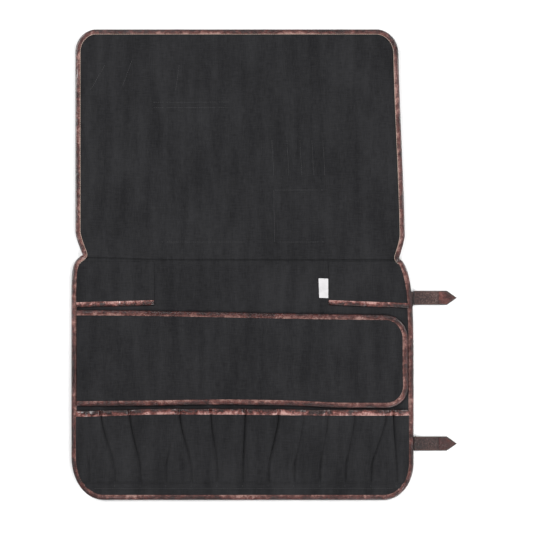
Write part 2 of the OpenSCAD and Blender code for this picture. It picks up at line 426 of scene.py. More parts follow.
# ---------------------------------------------------------------- materials
class Nodes:
    """A short way to write a material's node tree."""

    def __init__(self, name):
        self.material = bpy.data.materials.new(name)
        self.material.use_nodes = True
        self.tree = self.material.node_tree
        self.shader = self.tree.nodes["Principled BSDF"]
        self.where = self.add("ShaderNodeUVMap", uv_map="cloth").outputs[0]

    def add(self, kind, inputs=None, **settings):
        node = self.tree.nodes.new(kind)
        for key, value in settings.items():
            setattr(node, key, value)
        for key, value in (inputs or {}).items():
            self.put(node.inputs[key], value)
        return node

    def put(self, socket, value):
        if isinstance(value, bpy.types.NodeSocket):
            self.tree.links.new(value, socket)
        else:
            socket.default_value = value

    def set(self, **values):
        for key, value in values.items():
            self.put(self.shader.inputs[key.replace("_", " ")], value)

    def math(self, operation, a, b=0.0, c=0.0):
        node = self.add("ShaderNodeMath", operation=operation)
        for i, value in enumerate((a, b, c)):
            self.put(node.inputs[i], value)
        return node.outputs[0]

    def noise(self, size, detail=4.0, rough=0.55, stretch=(1, 1, 1), twist=0.0):
        """Noise whose lumps are about size metres across."""
        moved = self.add("ShaderNodeMapping",
                         {"Vector": self.where, "Scale": [s / size for s in stretch]})
        node = self.add("ShaderNodeTexNoise",
                        {"Vector": moved.outputs[0], "Scale": 1.0, "Detail": detail,
                         "Roughness": rough, "Distortion": twist})
        return node.outputs[0]

    def cells(self, size):
        """How far each place is from the nearest border between cells of about that size."""
        moved = self.add("ShaderNodeMapping", {"Vector": self.where, "Scale": [1 / size] * 3})
        node = self.add("ShaderNodeTexVoronoi", {"Vector": moved.outputs[0], "Scale": 1.0},
                        feature="DISTANCE_TO_EDGE")
        return node.outputs[0]

    def ramp(self, value, stops):
        node = self.add("ShaderNodeValToRGB")
        line = node.color_ramp
        while len(line.elements) < len(stops):
            line.elements.new(0.5)
        for element, (at, colour) in zip(line.elements, stops):
            element.position = at
            element.color = (*colour, 1)
        self.put(node.inputs[0], value)
        return node.outputs[0]

    def span(self, value, low, high):
        """A value from 0 to 1 turned into one from low to high."""
        node = self.add("ShaderNodeMapRange", {"Value": value, "To Min": low, "To Max": high})
        return node.outputs[0]

    def bump(self, *layers):
        """Bump layers, each a height and how many metres it stands."""
        normal = None
        for height, distance in layers:
            node = self.add("ShaderNodeBump",
                            {"Height": height, "Distance": distance, "Strength": 1.0})
            if normal is not None:
                self.put(node.inputs["Normal"], normal)
            normal = node.outputs[0]
        self.set(Normal=normal)


def canvas_material(name, dark, light, yarn=0.75 * MM):
    """Plain-woven cotton canvas, with slubs in the yarn and a soft bloom from brushing."""
    n = Nodes(name)
    parts = n.add("ShaderNodeSeparateXYZ", {"Vector": n.where})
    u = n.math("MULTIPLY", parts.outputs[0], math.pi / yarn)
    v = n.math("MULTIPLY", parts.outputs[1], math.pi / yarn)
    warp, weft = n.math("SINE", u), n.math("SINE", v)
    cross = n.math("MULTIPLY_ADD", n.math("MULTIPLY", warp, weft), 0.5, 0.5)
    slub = n.noise(1.6 * MM, 2.0, 0.6, (1, 0.12, 1))
    slub_across = n.noise(1.6 * MM, 2.0, 0.6, (0.12, 1, 1))
    slubs = n.math("ADD", slub, slub_across)
    bloom = n.math("MULTIPLY_ADD", n.noise(18 * MM, 5.0, 0.6, (1, 0.14, 1)), 0.6,
                   n.math("MULTIPLY", n.noise(90 * MM, 4.0, 0.55), 0.4))
    fuzz = n.noise(0.5 * MM, 2.0, 0.7)
    yarns = n.math("MULTIPLY_ADD", slubs, 0.2, n.math("MULTIPLY", cross, 0.12))
    mixed = n.math("MULTIPLY_ADD", bloom, 0.5, yarns)
    n.set(Base_Color=n.ramp(mixed, ((0.41, dark), (0.61, light))),
          Roughness=n.span(fuzz, 0.82, 0.98))
    n.shader.inputs["Specular IOR Level"].default_value = 0.12
    n.shader.inputs["Sheen Weight"].default_value = 0.05
    n.shader.inputs["Sheen Roughness"].default_value = 0.45
    n.bump((cross, 0.09 * MM), (slubs, 0.2 * MM), (fuzz, 0.05 * MM))
    return n.material


def leather_material(name, stops, gloss=(0.2, 0.46), coat=0.35, grain=0.9 * MM, blotch=9 * MM):
    """Thin glossy leather mottled in blotches, a fine grain and creases across it; painted shade
    darkens it toward a binding's folded edge, and a ramp's light top stop paints highlights into the
    blotches.
    """
    n = Nodes(name)
    # Mottle noise: blotches of dye, whose lightest parts are painted highlight where a ramp's top stop
    # is light
    dye_and_glint_mottle = n.noise(blotch, 6.0, 0.62, twist=0.6)
    speck = n.noise(1.3 * MM, 3.0, 0.6)
    wide = n.noise(60 * MM, 2.0, 0.5)
    rest = n.math("MULTIPLY_ADD", speck, 0.24, n.math("MULTIPLY", wide, 0.3))
    mixed = n.math("MULTIPLY_ADD", dye_and_glint_mottle, 0.5, rest)
    cells = n.math("MINIMUM", n.math("MULTIPLY", n.cells(grain), 3.0), 1.0)
    crease = n.noise(4.5 * MM, 5.0, 0.6, twist=1.2)
    across = n.add("ShaderNodeUVMap", uv_map="across")
    share = n.add("ShaderNodeSeparateXYZ", {"Vector": across.outputs[0]})
    # Painted shade: the colour steps darker toward a binding's folded outer edge and lighter toward
    # its inner side, as light falls across the binding's dome
    painted_edge_shade = n.add("ShaderNodeMapRange",
                 {"Value": share.outputs[0], "From Min": 0.1, "From Max": 0.95,
                  "To Min": -0.055, "To Max": 0.07}).outputs[0]
    n.set(Base_Color=n.ramp(n.math("ADD", mixed, painted_edge_shade), stops),
          Roughness=n.span(n.noise(5 * MM, 4.0, 0.6), *gloss))
    n.shader.inputs["Specular IOR Level"].default_value = 0.5
    n.shader.inputs["Coat Weight"].default_value = coat
    n.shader.inputs["Coat Roughness"].default_value = 0.11
    n.bump((cells, 0.08 * MM), (crease, 0.9 * MM), (speck, 0.09 * MM))
    return n.material


def thread_material(name, dark, light):
    """Twisted sewing thread."""
    n = Nodes(name)
    twist = n.noise(0.35 * MM, 3.0, 0.6)
    n.set(Base_Color=n.ramp(twist, ((0.3, dark), (0.7, light))), Roughness=n.span(twist, 0.5, 0.75))
    n.bump((twist, 0.06 * MM))
    return n.material


def ribbon_material(name):
    """White satin ribbon, its yarn running one way."""
    n = Nodes(name)
    yarn = n.noise(0.5 * MM, 3.0, 0.6, (1, 0.08, 1))
    soil = n.noise(14 * MM, 4.0, 0.6)
    n.set(Base_Color=n.ramp(soil, ((0.3, (0.5, 0.49, 0.5)), (0.7, (0.62, 0.61, 0.62)))),
          Roughness=n.span(yarn, 0.42, 0.6))
    n.shader.inputs["Sheen Weight"].default_value = 0.2
    n.bump((yarn, 0.05 * MM))
    return n.material


def steel_material(name):
    """Nickel plate with fine scratches."""
    n = Nodes(name)
    scratch = n.noise(0.6 * MM, 3.0, 0.6, (1, 0.05, 1))
    n.set(Base_Color=n.ramp(scratch, ((0.3, (0.5, 0.49, 0.47)), (0.7, (0.68, 0.67, 0.65)))),
          Roughness=n.span(scratch, 0.22, 0.4))
    n.shader.inputs["Metallic"].default_value = 1.0
    n.bump((scratch, 0.01 * MM))
    return n.material


LINING = canvas_material(
    "black canvas lining", (0.0078, 0.0078, 0.0088), (0.0225, 0.0225, 0.0242))
OUTER = canvas_material(
    "black canvas outside", (0.007, 0.007, 0.008), (0.019, 0.019, 0.0205), 0.95 * MM)
# The lightest stop is a painted highlight: light blotches standing in for glints on the glossy edging
EDGING = leather_material("oxblood edging leather", coat=0.5, stops=(
    (0.43, (0.01, 0.0015, 0.0015)), (0.5, (0.035, 0.006, 0.005)), (0.57, (0.095, 0.026, 0.021)),
    (0.65, (0.3, 0.165, 0.14))))
# The lightest, pinkish-white stop is a painted highlight standing in for glints on the glossy mouth
# strips
MOUTH_LEATHER = leather_material("glossy mouth strip leather", (
    (0.44, (0.008, 0.0015, 0.0015)), (0.5, (0.035, 0.006, 0.005)), (0.56, (0.14, 0.034, 0.027)),
    (0.64, (0.5, 0.29, 0.26))), gloss=(0.2, 0.42), coat=0.5)
STRAP = leather_material("dark strap leather", (
    (0.44, (0.006, 0.002, 0.002)), (0.51, (0.022, 0.008, 0.007)), (0.57, (0.062, 0.03, 0.026)),
    (0.63, (0.17, 0.11, 0.095))), gloss=(0.24, 0.5), coat=0.15, grain=1.2 * MM, blotch=2.5 * MM)
TIP = leather_material("strap tip leather", (
    (0.4, (0.01, 0.002, 0.002)), (0.52, (0.04, 0.009, 0.008)), (0.62, (0.12, 0.035, 0.028))),
    gloss=(0.2, 0.4), coat=0.25)
PAINT = leather_material("black edge paint", (
    (0.3, (0.006, 0.005, 0.005)), (0.7, (0.022, 0.016, 0.015))), gloss=(0.3, 0.5), coat=0.2)
TAN_THREAD = thread_material("light tan thread", (0.26, 0.19, 0.145), (0.5, 0.42, 0.35))
BROWN_THREAD = thread_material("brown thread", (0.09, 0.04, 0.03), (0.2, 0.11, 0.085))
BLACK_THREAD = thread_material("black thread", (0.024, 0.024, 0.026), (0.07, 0.07, 0.073))
RIBBON = ribbon_material("white satin ribbon")
STEEL = steel_material("nickel plate")

# Kinds of stitches: from one to the next, a stitch's length and width, and its thread
EDGE_STITCH = 3.6 * MM, 2.5 * MM, 0.45 * MM, BROWN_THREAD
FLAP_STITCH = 3.2 * MM, 2.9 * MM, 0.75 * MM, TAN_THREAD
SEAM_STITCH = 3.2 * MM, 2.5 * MM, 0.42 * MM, BLACK_THREAD
HEM_STITCH = 3.2 * MM, 2.3 * MM, 0.4 * MM, BLACK_THREAD
MOUTH_STITCH = 3.6 * MM, 2.5 * MM, 0.4 * MM, BROWN_THREAD
STRAP_STITCH = 3.0 * MM, 2.2 * MM, 0.45 * MM, BROWN_THREAD
LABEL_STITCH = 2.6 * MM, 1.9 * MM, 0.3 * MM, RIBBON
EDGE_LIFT, MOUTH_LIFT = 0.72 * MM, 0.74 * MM  # how high thread lies over what's under a binding


# ---------------------------------------------------------------- baking pieces in place, and the CAD nodes they stand for
def roll(pieces, first=1):
    """Pieces cut at the sections' middles, each with its transform baked into its points."""
    for i, piece in enumerate(pieces, first):
        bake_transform(piece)


def fold(pieces):
    """Pieces cut at the lines between the sections, each with its transform baked into its points."""
    for i, piece in enumerate(pieces, 1):
        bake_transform(piece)


def swing(piece):
    """The cover's seam, between the body and the cover."""
    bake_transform(piece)


def stand_for(node, i):
    """Piece i of six replaces its section's CAD node, and the last one the seventh's too."""
    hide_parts(f"{node}_{i}", *([f"{node}_{SECTIONS}"] if i == SECTIONS - 1 else []))


def show_steel(node):
    """Leaves a magnet as its CAD node, in nickel plate."""
    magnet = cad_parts[node]
    magnet.data.materials.clear()
    magnet.data.materials.append(STEEL)


def named(base, count):
    return [f"{base}_{i}" for i in range(1, count + 1)]


# ---------------------------------------------------------------- the body and the flap
INSET = 1.0 * MM
EDGE_WIDTH = 7.5 * MM
SEAM_INSET = EDGE_WIDTH - 1.3 * MM
HINGE = FOLD - FOLD_BLEND
OUTER_DROP = 0.95 * MM
MESH_STEP = 3.2 * MM


def lining_z(x, y):
    return PANEL_TOP + lie(x, y)


def outer_z(x, y):
    return lining_z(x, y) - OUTER_DROP


def beside(edge, y, inset):
    """A line at a distance from an edge, measured square to it, and negative at a right edge."""
    step = 0.5 * MM
    slope = (edge(y + step) - edge(y - step)) / (2 * step)
    return edge(y) + inset * np.minimum(np.sqrt(1 + slope**2), 2.2)


def inner_left(y):
    return beside(left_edge, y, INSET)


def inner_right(y):
    return beside(right_edge, y, -INSET)


def make_body():
    """The lining and the outer canvas, in six pieces below the fold and seven above it."""
    body_rows = sheet_rows(BOTTOM + INSET, HINGE, 3 * MM, round_low=60 * MM,
                           fine=(HINGE - 5 * MM,))
    flap_rows = sheet_rows(HINGE, TOP - INSET, 3 * MM, round_high=34 * MM,
                           fine=(HINGE + 5 * MM, HINGE + 12 * MM))
    body_lines = [inner_left, *MIDDLES[1:-1], inner_right]
    flap_lines = [inner_left, *BOUNDS[1:-1], inner_right]
    for kind, z_of, material in (("lining", lining_z, LINING), ("outer", outer_z, OUTER)):
        body = cut_sheet(named(f"body_{kind}", 6), body_lines, body_rows, MESH_STEP, z_of, CLOTH,
                         material)
        flap = cut_sheet(named(f"flap_{kind}", 7), flap_lines, flap_rows, MESH_STEP, z_of, CLOTH,
                         material)
        roll(body)
        fold(flap)
        if kind == "lining":
            for i, piece in enumerate(body, 1):
                stand_for("body_panel", i)
            for i, piece in enumerate(flap, 1):
                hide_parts(f"flap_panel_{i}")


def outline():
    """The outline clockwise: the body's six parts, from right to left, and the flap's seven."""
    rows = sheet_rows(BOTTOM, HINGE, 2 * MM, round_low=66 * MM)
    right = np.stack([right_edge(rows), rows], axis=1)
    left = np.stack([left_edge(rows), rows], axis=1)
    body = np.concatenate([right[::-1], left])
    rows = sheet_rows(HINGE, TOP, 2 * MM, round_high=36 * MM, fine=(WAIST_LEFT, WAIST_RIGHT))
    right = np.stack([right_edge(rows), rows], axis=1)
    left = np.stack([left_edge(rows), rows], axis=1)
    flap = np.concatenate([left, right[::-1]])
    return split_line(body, MIDDLES[-2:0:-1]) + split_line(flap, BOUNDS[1:-1])


def make_edging():
    """The leather edging all round and the thread along it."""
    parts = outline()
    names = named("body_edge", 6)[::-1] + named("flap_edge", 7)
    pieces = binding(names, parts, EDGE_WIDTH, lining_z, LEATHER, 1.8 * MM, EDGING, closed=True)
    body, flap = pieces[5::-1], pieces[6:]
    roll(body)
    fold(flap)
    for i, piece in enumerate(body, 1):
        stand_for("body_edging", i)
    for i, piece in enumerate(flap, 1):
        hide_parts(f"flap_edging_{i}")
    body_thread, flap_thread = [], []
    for i, part in zip(range(6, 0, -1), parts):
        line = offset_line(spaced(part, 2 * MM), SEAM_INSET, lining_z, EDGE_LIFT)
        body_thread.append(stitches(f"body_edge_thread_{i}", [line], *EDGE_STITCH))
    for i, part in enumerate(parts[6:], 1):
        line = offset_line(spaced(part, 2 * MM), EDGE_WIDTH - 0.35 * MM, lining_z, 0.5 * MM)
        flap_thread.append(stitches(f"flap_edge_thread_{i}", [line], *FLAP_STITCH))
    roll(body_thread[::-1])
    fold(flap_thread)


def flap_seams():
    """The rows of black stitches on the flap, which may hold slots on its other side."""
    def span(x0, y0, x1, y1):
        return spaced(np.array([(x0, y0), (x1, y1)]) * MM, 2 * MM)

    slots = [span(x, 187, x + 3, 134) for x in (10, 32.5, 52, 70, 86.5)]
    return slots + [
        span(14, 112, 87, 112), span(13, 112, 14, 34), span(-156, 34, -30, 34),
        span(18, 34, 90, 34), span(-168, 243.5, -54, 244), span(-168, 236, -54, 235.5),
        span(-240, 300, -262, 262), span(-200, 306, -214, 268), span(-129, 300, -134, 262),
    ]


def make_flap_seams():
    """The flap's stitch rows, shared out among its strips."""
    for i in range(SECTIONS):
        lines = []
        for seam in flap_seams():
            x = seam[:, 0]
            inside = (x >= BOUNDS[i] + 1 * MM) & (x < BOUNDS[i + 1] - 1 * MM)
            if inside.sum() > 2:
                lines.append(offset_line(seam[inside], 0, lining_z, 0.06 * MM))
        if lines:
            thread = stitches(f"flap_seam_{i + 1}", lines, *SEAM_STITCH)
            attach(thread, f"flap_{i + 1}")


# ---------------------------------------------------------------- the brush pockets
# How far each seam between two pockets leans at the mouth, and how sharp it still is there
LEAN = dict(zip(range(1, CELLS), (-1, -20, -15.5, 12, -17.5, -9, 4, 16, 14, 12, 14, 23, -4.5)))
SHARP = dict(zip(range(1, CELLS), (0.05, 1, 1, 0.1, 1, 0.85, 0.9, 0.7, 0.25, 0.3, 0.35, 0.45, 1)))
# Pleats between the seams: x at the hem, lean and width in mm, and height
PLEATS = ((-48, 2, 4, 0.9), (34, 5, 3.5, 0.8), (84, 4, 4, 0.7), (-96, -4, 7, 0.5),
          (-198, 6, 8, 0.5), (150, 3, 8, -0.6), (116, 4, 5, 0.6))
HEM = POCKET_LOW - 9 * MM
POCKET_CLOTH = 0.5 * MM
POCKET_LIFT = 0.62 * MM  # from the lining's top to the pocket cloth's, where they touch
POCKET_SIDE = 6.9 * MM


def crease(i, y):
    """Where the seam numbered i runs at height y: straight from below, then leaning."""
    if i in LEAN:
        return STITCHES[i] + LEAN[i] * MM * smooth((y - POCKET_LOW - 14 * MM) / (96 * MM))
    return np.full(np.shape(y), STITCHES[i])


def mouth_line(x):
    """The brush pockets' mouth, which isn't quite straight."""
    return (MOUTH - 2.3 * MM + 3.6 * MM * smooth((x - LEFT) / (140 * MM))
            - 1.8 * MM * smooth((x - LEFT - 160 * MM) / (300 * MM)))


def pocket_z(x, y):
    """The brush pockets: low at the hem, full at the mouth, with a narrow valley at each seam."""
    up = (y - POCKET_LOW) / (MOUTH - POCKET_LOW)
    full = 2.5 * MM * smooth(up / 0.05) + 2.1 * MM * smooth(up)
    valley = np.zeros(np.broadcast(x, y).shape)
    ridge = np.zeros(np.broadcast(x, y).shape)
    for i in range(1, CELLS):
        d = x - crease(i, y)
        sharp = 1 + (SHARP[i] - 1) * smooth((up - 0.22) / 0.25)
        deep = sharp * bump(d, 1.7 * MM) + 0.25 * sharp * bump(d, 6 * MM)
        valley = np.maximum(valley, deep + 0.35 * (1 - sharp) * bump(d, 5 * MM))
        side = np.sign(LEAN[i])
        ridge = ridge + bump(d - side * 3.6 * MM, 2.2 * MM) * (0.25 + 0.45 * bump(up - 0.25, 0.3))
    pleats = np.zeros(np.broadcast(x, y).shape)
    for at, lean, width, height in PLEATS:
        middle = (at + lean * up) * MM
        pleats = pleats + height * MM * bump(x - middle, width * MM) * smooth((up - 0.1) / 0.5)
    side = np.minimum(smooth((x - LEFT - 7 * MM) / (14 * MM)),
                      smooth((RIGHT - 7 * MM - x) / (14 * MM)))
    crumple = (0.4 * MM * waves(x * 2.4, y * 0.7, 11, 40 * MM)
               + 0.16 * MM * waves(x * 1.8, y, 12, 14 * MM))
    height = full * (1 - np.minimum(valley, 1)) + 0.9 * MM * ridge * smooth(up / 0.1)
    height = height + (pleats + crumple) * smooth(up / 0.15) * (1 - np.minimum(valley, 1))
    seam = 0.95 * MM * bump(y - POCKET_LOW + 0.5 * MM, 0.9 * MM)
    return lining_z(x, y) + POCKET_LIFT + height * (0.2 + 0.8 * side) - seam


def pocket_warp(x, y):
    """Moves the rows so that the last one follows the mouth."""
    return y + (mouth_line(x) - MOUTH) * smooth((y - HEM) / (MOUTH - HEM))


def make_pockets():
    """The row of brush pockets, the leather along its mouth, and its threads."""
    rows = sheet_rows(HEM, MOUTH - 0.8 * MM, 2 * MM, fine=(POCKET_LOW,))
    lines = [lambda y: beside(left_edge, y, POCKET_SIDE)]
    lines += [partial(crease, i) for i in range(1, CELLS)]
    lines += [lambda y: beside(right_edge, y, -POCKET_SIDE)]
    cuts = [0, 3, 5, 7, 9, 11, CELLS]
    pieces = cut_sheet(named("brush_pockets", 6), lines, rows, 1.5 * MM, pocket_z, POCKET_CLOTH,
                       LINING, cuts=cuts, ease=0.6, warp=pocket_warp)
    roll(pieces)
    for i, piece in enumerate(pieces, 1):
        stand_for("pockets", i)
    x = np.arange(LEFT + 6.8 * MM, RIGHT - 6.8 * MM, 0.7 * MM)
    mouth = np.stack([x, mouth_line(x)], axis=1)
    parts = split_line(mouth, [float(crease(i, MOUTH)) for i in cuts[1:-1]])
    strip = binding(named("mouth_strip", 6), parts, 8.4 * MM, pocket_z, LEATHER, POCKET_CLOTH,
                    MOUTH_LEATHER, step=1.1 * MM, seed=21)
    roll(strip)
    threads = []
    for i, part in enumerate(parts, 1):
        along = spaced(part, 2 * MM)
        lines = [offset_line(along, inset, pocket_z, MOUTH_LIFT) for inset in (1.3 * MM, 7.2 * MM)]
        threads.append(stitches(f"mouth_strip_thread_{i}", lines, *MOUTH_STITCH))
    roll(threads)
    hem = []
    for i in range(6):
        a, b = (BOUNDS[0], *MIDDLES[1:-1], BOUNDS[-1])[i:i + 2]
        x = np.arange(max(a, LEFT + 34 * MM), min(b, RIGHT - 30 * MM), 2 * MM)
        line = np.stack([x, np.full(x.shape, POCKET_LOW - 6.5 * MM)], axis=1)
        lines = [offset_line(line, 0, pocket_z, 0.12 * MM)]
        for k in range(1, CELLS):
            if a <= STITCHES[k] < b and LEFT + 30 * MM < STITCHES[k] < RIGHT - 20 * MM:
                y = np.linspace(POCKET_LOW - 6 * MM, POCKET_LOW, 5)
                tack = np.stack([np.full(5, STITCHES[k]), y], axis=1)
                lines.append(offset_line(tack, 0, pocket_z, 0.15 * MM))
        hem.append(stitches(f"pocket_hem_thread_{i + 1}", lines, *HEM_STITCH))
    roll(hem)


# ---------------------------------------------------------------- the corner pockets
CORNER_WIDTH = 124 * MM
CORNER_SIDE = 7.2 * MM
CORNER_TOP = FOLD - 5.5 * MM
RIGHT_FREE = RIGHT - CORNER_WIDTH - 3 * MM


def corner_z(x, y):
    return lining_z(x, y) + POCKET_LIFT + 0.3 * MM * waves(x, y, 31, 60 * MM)


def left_mouth(x):
    return CORNER_MOUTH - 0.8 * MM + 3.3 * MM * (x - LEFT) / CORNER_WIDTH


def right_mouth(x):
    return CORNER_MOUTH + 2.6 * MM - 4.8 * MM * (x - RIGHT + CORNER_WIDTH) / CORNER_WIDTH


def make_corner_pockets():
    """Two flat pockets at each end below the fold, open downward, each pair with one strip."""
    rows = sheet_rows(CORNER_MOUTH + 1 * MM, CORNER_TOP, 2.6 * MM)
    # Each pair's side, section, mouth, free edge, middle seam, sheet lines and strip ends
    pairs = (
        ("left", 1, left_mouth, LEFT + CORNER_WIDTH, LEFT + 70.6 * MM,
         [lambda y: beside(left_edge, y, CORNER_SIDE), BOUNDS[1], LEFT + CORNER_WIDTH],
         (LEFT + 7 * MM, LEFT + CORNER_WIDTH + 0.4 * MM)),
        ("right", 6, right_mouth, RIGHT_FREE, RIGHT - 72 * MM,
         [RIGHT_FREE, BOUNDS[6], lambda y: beside(right_edge, y, -CORNER_SIDE)],
         (RIGHT - CORNER_WIDTH - 3.4 * MM, RIGHT - 7 * MM)),
    )
    for side, section, mouth, free, middle, lines, ends in pairs:
        def warp(x, y):
            return y + (mouth(x) - CORNER_MOUTH) * (CORNER_TOP - y) / (CORNER_TOP - CORNER_MOUTH)

        def flat_ends(x, y):
            """The pocket's cloth sinks to the lining beside its free edge and its middle seam."""
            edge = np.minimum(bump(x - free, 2.5 * MM) + bump(x - middle, 1.6 * MM), 1)
            low_part = smooth((CORNER_MOUTH + 34 * MM - y) / (34 * MM))
            return corner_z(x, y) + 1.1 * MM * low_part * (1 - edge)

        pocket, = cut_sheet([f"{side}_corner_pocket"], lines, rows, 2.2 * MM, flat_ends,
                            POCKET_CLOTH, LINING, cuts=[0, 2], warp=warp)
        x = np.arange(LEFT, RIGHT, 0.7 * MM)
        x = x[(x > ends[0]) & (x < ends[1])][::-1]
        line = np.stack([x, mouth(x)], axis=1)
        strip, = binding([f"{side}_corner_strip"], [line], 7.2 * MM, flat_ends, LEATHER,
                         POCKET_CLOTH, MOUTH_LEATHER, step=1.4 * MM, seed=41 + section)
        lines = [offset_line(spaced(line, 2 * MM), inset, flat_ends, MOUTH_LIFT)
                 for inset in (1.2 * MM, 6 * MM)]
        thread = stitches(f"{side}_corner_thread", lines, *MOUTH_STITCH)
        for piece in (pocket, strip, thread):
            roll([piece], first=section)


# ---------------------------------------------------------------- the brush cover
COVER_CLOTH = 0.9 * MM
COVER_SEAM = LEFT + 8 * MM
COVER_ROUND = 36 * MM


def cover_top(x):
    return COVER_TOP + 1.6 * MM - 7 * MM * smooth((x - LEFT) / (COVER_RIGHT - LEFT))


def cover_low(x):
    return (COVER_LOW - 0.9 * MM + 2.4 * MM * bump(x + 60 * MM, 110 * MM)
            - 2.6 * MM * smooth((x - 20 * MM) / (110 * MM)))


def cover_warp(x, y):
    share = (y - COVER_LOW) / (COVER_TOP - COVER_LOW)
    return cover_low(x) + share * (cover_top(x) - cover_low(x))


def cover_right(y):
    corners = sum(rounded(s, COVER_ROUND, 34 * MM) for s in (COVER_TOP - y, y - COVER_LOW))
    return COVER_RIGHT + 2 * MM - 2 * MM * smooth((y - COVER_LOW) / (60 * MM)) - corners


def cover_z(x, y):
    """The cover lies loose over the brushes' ends, in long shallow waves."""
    drape = 0.5 * MM * waves(x, y * 0.35, 51, 110 * MM) + 0.25 * MM * waves(x, y * 0.4, 52, 45 * MM)
    free = smooth((x - COVER_SEAM) / (40 * MM))
    return COVER_Z + 1.25 * MM + drape * free


def make_cover():
    """The cover's cloth, with its seam on the body, its edging and its thread."""
    rows = sheet_rows(COVER_LOW + INSET, COVER_TOP - INSET, 2.8 * MM, COVER_ROUND, COVER_ROUND)
    seam = LEFT + 22 * MM
    lines = [COVER_SEAM, seam, *MIDDLES[1:-1], lambda y: cover_right(y) - INSET]
    names = ["cover_seam", *named("cover_cloth", 6)]
    pieces = cut_sheet(names, lines, rows, 3 * MM, cover_z, COVER_CLOTH, LINING,
                       warp=cover_warp)
    swing(pieces[0])
    roll(pieces[1:])
    for i, piece in enumerate(pieces):
        if i:
            stand_for("cover_panel", i)
    rows = sheet_rows(COVER_LOW, COVER_TOP, 2 * MM, COVER_ROUND, COVER_ROUND)
    side = np.stack([cover_right(rows), rows], axis=1)[::-1]
    x = np.linspace(COVER_SEAM, side[0, 0], 200)[:-1]
    top = np.stack([x, np.full(x.shape, COVER_TOP)], axis=1)
    low_side = np.stack([x[::-1], np.full(x.shape, COVER_LOW)], axis=1)
    line = np.concatenate([top, side, low_side])
    line[:, 1] = cover_warp(line[:, 0], line[:, 1])
    parts = split_line(line, [seam, *MIDDLES[1:-1], *MIDDLES[-2:0:-1], seam])
    names = ["cover_edge_seam_high", *named("cover_edge_high", 5), "cover_edge_end",
             *named("cover_edge_low", 5)[::-1], "cover_edge_seam_low"]
    edge = binding(names, parts, EDGE_WIDTH, cover_z, LEATHER, COVER_CLOTH, EDGING, seed=61)
    threads = []
    for name, part in zip(names, parts):
        line = offset_line(spaced(part, 2 * MM), SEAM_INSET, cover_z, EDGE_LIFT)
        threads.append(stitches(f"{name}_thread", [line], *EDGE_STITCH))
    for group in (edge, threads):
        swing(group[0])
        swing(group[-1])
        roll(group[1:7])
        roll(group[7:12][::-1])
    for i, piece in enumerate(edge):
        if 1 <= i <= 6:
            stand_for("cover_edging", i)


# ---------------------------------------------------------------- straps, patches and label
def plate(name, shape, low_z, top_z, bevel, material, edge_material):
    """A flat piece of leather from its outline, with bevelled and painted edges."""
    shape = np.array(shape)
    centre = shape.mean(axis=0)
    loops = []
    for inset, z in ((bevel, low_z), (0, low_z + bevel), (0, top_z - bevel),
                     (bevel * 0.35, top_z - bevel * 0.3), (bevel * 1.6, top_z)):
        way = centre - shape
        size = np.linalg.norm(way, axis=1, keepdims=True)
        moved = shape + inset * way / np.maximum(size, 1e-9)
        loops.append(np.concatenate([moved, np.full((len(shape), 1), z)], axis=1))
    count = len(shape)
    points = np.concatenate(loops)
    faces, spots = [], []
    for r in range(len(loops) - 1):
        for k in range(count):
            nxt = (k + 1) % count
            a, b = r * count, (r + 1) * count
            faces.append((a + k, a + nxt, b + nxt, b + k))
            spots.append(1)
    last = (len(loops) - 1) * count
    faces.append(tuple(range(last, last + count)))
    faces.append(tuple(range(count - 1, -1, -1)))
    spots += [0, 0]
    piece = new_piece(name, points, faces, [material, edge_material], spots=spots)
    piece.data.polygons.foreach_set("use_smooth", [False] * len(faces))
    return piece


def tab_shape(x0, x1, tip, y, half):
    """A strap end's outline: straight sides from x0 to x1, then a point."""
    sides = np.linspace(x0, x1, 24)
    slope = np.linspace(0, 1, 9)[1:]
    upper = [(x, y + half) for x in sides]
    upper += [(x1 + (tip - x1) * t, y + half * (1 - t)) for t in slope]
    lower = [(x, 2 * y - v) for x, v in upper[::-1][1:]]
    return (upper + lower)[::-1]


STRAP_SHIFT = 2.2 * MM  # how far the tabs lie toward the fold from their CAD nodes
STRAP_HALF = 10.6 * MM
SEAM_ABOVE = 0.02 * MM


def make_straps():
    """The two free tabs, each with its tip's second layer, its thread and its magnet."""
    for i in (1, 2):
        lo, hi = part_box(f"strap_tab_{i}")
        middle = (lo.y + hi.y) / 2 + STRAP_SHIFT
        half = STRAP_HALF
        shape = tab_shape(lo.x, hi.x - 17.6 * MM, hi.x - 2.6 * MM, middle, half)
        tab = plate(f"strap_{i}", shape, lo.z, hi.z, 0.5 * MM, STRAP, PAINT)
        facing_low, facing_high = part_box(f"tip_facing_{i}")
        shape = tab_shape(facing_low.x, hi.x - 18.2 * MM, hi.x - 4.7 * MM, middle, half - 1.2 * MM)
        tip = plate(f"strap_tip_{i}", shape, facing_low.z, facing_high.z, 0.15 * MM, TIP, PAINT)
        along = np.linspace(lo.x + 1 * MM, facing_low.x - 1 * MM, 20)
        lines = []
        for y in (middle - (half - 1.9 * MM), middle + (half - 1.9 * MM)):
            lines.append(np.stack([along, np.full(20, y), np.full(20, hi.z + SEAM_ABOVE)], axis=1))
        start, turn, side = facing_low.x + 1 * MM, hi.x - 18.8 * MM, half - 2.4 * MM
        edge = np.array([(start, side), (turn, side), (hi.x - 7.5 * MM, 0), (turn, -side),
                         (start, -side)])
        loop = np.concatenate([edge + (0, middle), np.full((5, 1), facing_high.z + SEAM_ABOVE)],
                              axis=1)
        lines += [spaced(np.array([a, b]), 1 * MM) for a, b in zip(loop, loop[1:])]
        thread = stitches(f"strap_{i}_thread", lines, *STRAP_STITCH)
        for piece, node in ((tab, f"strap_tab_{i}"), (tip, f"tip_facing_{i}"), (thread, None)):
            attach(piece, f"tab_{i}")
            if node:
                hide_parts(node)
        show_steel(f"tab_magnet_{i}")


